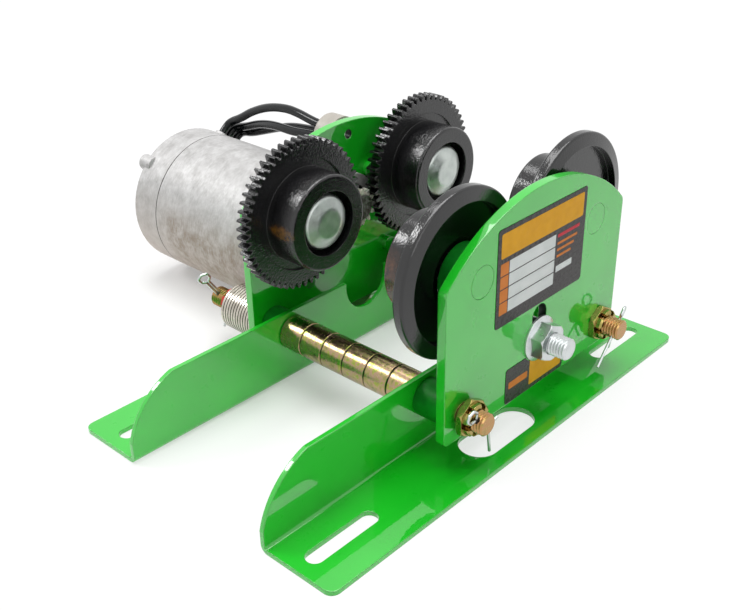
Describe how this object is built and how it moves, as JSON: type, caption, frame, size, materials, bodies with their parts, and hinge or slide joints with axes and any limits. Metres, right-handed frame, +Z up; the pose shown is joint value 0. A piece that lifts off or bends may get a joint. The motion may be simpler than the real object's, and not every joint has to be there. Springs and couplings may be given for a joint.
{
  "type": "motorized beam trolley",
  "caption": "Motorized beam trolley: slotted load rails on tie rods, arched side plates with idler and toothed drive wheels, and a geared electric motor behind the rear plate.",
  "frame": {"origin": "centre of the mounting slot pattern, on the underside of the load rails", "axes": "+X along the beam, +Y across the beam from the idler side to the motor side, +Z up"},
  "size_m": [0.34, 0.3674, 0.1653],
  "materials": {
    "green_paint": "glossy powder coat",
    "black_wheel_paint": "black semi-gloss paint on turned iron",
    "yellow_zinc": "yellow chromate zinc",
    "bright_zinc": "bright zinc",
    "bearing_steel": "ground steel",
    "gear_steel": "cut steel with grease",
    "cast_aluminium": "as-cast, fine grain",
    "electrical_steel": "stacked sheet",
    "copper_winding": "varnished wire",
    "beige_plastic": "moulded",
    "black_rubber": "smooth",
    "label_film": "blank printed film"
  },
  "bodies": {
    "frame": {"front_rail": "green_paint", "rear_rail": "green_paint", "front_side_plate": "green_paint", "rear_side_plate": "green_paint", "front_collars": "green_paint", "rear_collars": "green_paint", "idler_axle_bosses": "green_paint", "left_tie_rod": "yellow_zinc", "right_tie_rod": "yellow_zinc", "left_spacer_bushes": "yellow_zinc", "right_spacer_bushes": "yellow_zinc", "front_castle_nuts": "yellow_zinc", "rear_castle_nuts": "yellow_zinc", "left_adjusting_washers": "bright_zinc", "right_adjusting_washers": "bright_zinc", "centre_bolt": "bright_zinc", "centre_flange_nut": "bright_zinc", "left_idler_axle": "bright_zinc", "right_idler_axle": "bright_zinc", "left_drive_axle": "bright_zinc", "right_drive_axle": "bright_zinc", "drive_axle_nuts": "bright_zinc", "drive_axle_bosses": "bright_zinc", "split_pins": "bright_zinc", "motor_mounting_screws": "bright_zinc", "gearbox_cover_screws": "bright_zinc", "end_cap_screws": "bright_zinc", "capacitor_nut": "bright_zinc", "wheel_bearing_inner_rings": "bearing_steel", "wheel_bearing_balls": "bearing_steel", "motor_bearing_outer_rings": "bearing_steel", "motor_bearing_balls": "bearing_steel", "gearbox_cover": "cast_aluminium", "motor_housing": "cast_aluminium", "motor_end_cap": "cast_aluminium", "stator_core": "electrical_steel", "stator_windings": "copper_winding", "capacitor": "beige_plastic", "lead_grommet": "black_rubber", "upper_lead": "black_rubber", "left_lead": "black_rubber", "right_lead": "black_rubber", "rating_label": "label_film", "lower_label": "label_film"},
    "left_drive_wheel": {"left_drive_wheel": "black_wheel_paint", "left_drive_outer_rings": "bearing_steel"},
    "right_drive_wheel": {"right_drive_wheel": "black_wheel_paint", "right_drive_outer_rings": "bearing_steel"},
    "left_idler_wheel": {"left_idler_wheel": "black_wheel_paint", "left_idler_outer_rings": "bearing_steel"},
    "right_idler_wheel": {"right_idler_wheel": "black_wheel_paint", "right_idler_outer_rings": "bearing_steel"},
    "pinion_shaft": {"pinion_shaft": "gear_steel", "reduction_gear": "gear_steel", "reduction_gear_key": "gear_steel", "shaft_bearing_inner_rings": "bearing_steel"},
    "rotor": {"rotor_shaft": "gear_steel", "rotor_core": "electrical_steel", "rotor_bearing_inner_rings": "bearing_steel"}
  },
  "joints": [
    {"name": "left_drive_spin", "type": "hinge", "parent": "frame", "child": "left_drive_wheel", "pos_m": [-0.02533, 0, 0.1143], "axis": [0, 1, 0], "continuous": true},
    {"name": "right_drive_spin", "type": "hinge", "parent": "frame", "child": "right_drive_wheel", "pos_m": [0.08813, 0, 0.1143], "axis": [0, 1, 0], "continuous": true},
    {"name": "left_idler_spin", "type": "hinge", "parent": "frame", "child": "left_idler_wheel", "pos_m": [-0.02533, 0, 0.1143], "axis": [0, 1, 0], "continuous": true},
    {"name": "right_idler_spin", "type": "hinge", "parent": "frame", "child": "right_idler_wheel", "pos_m": [0.08813, 0, 0.1143], "axis": [0, 1, 0], "continuous": true},
    {"name": "pinion_spin", "type": "hinge", "parent": "frame", "child": "pinion_shaft", "pos_m": [0.0314, 0, 0.0995], "axis": [0, 1, 0], "continuous": true},
    {"name": "rotor_spin", "type": "hinge", "parent": "frame", "child": "rotor", "pos_m": [0.0314, 0, 0.0575], "axis": [0, 1, 0], "continuous": true}
  ],
  "couplings": [
    {"joint": "right_drive_spin", "follows": "left_drive_spin", "ratio": 1},
    {"joint": "pinion_spin", "follows": "left_drive_spin", "ratio": -4.5833},
    {"joint": "rotor_spin", "follows": "left_drive_spin", "ratio": 13.75}
  ]
}
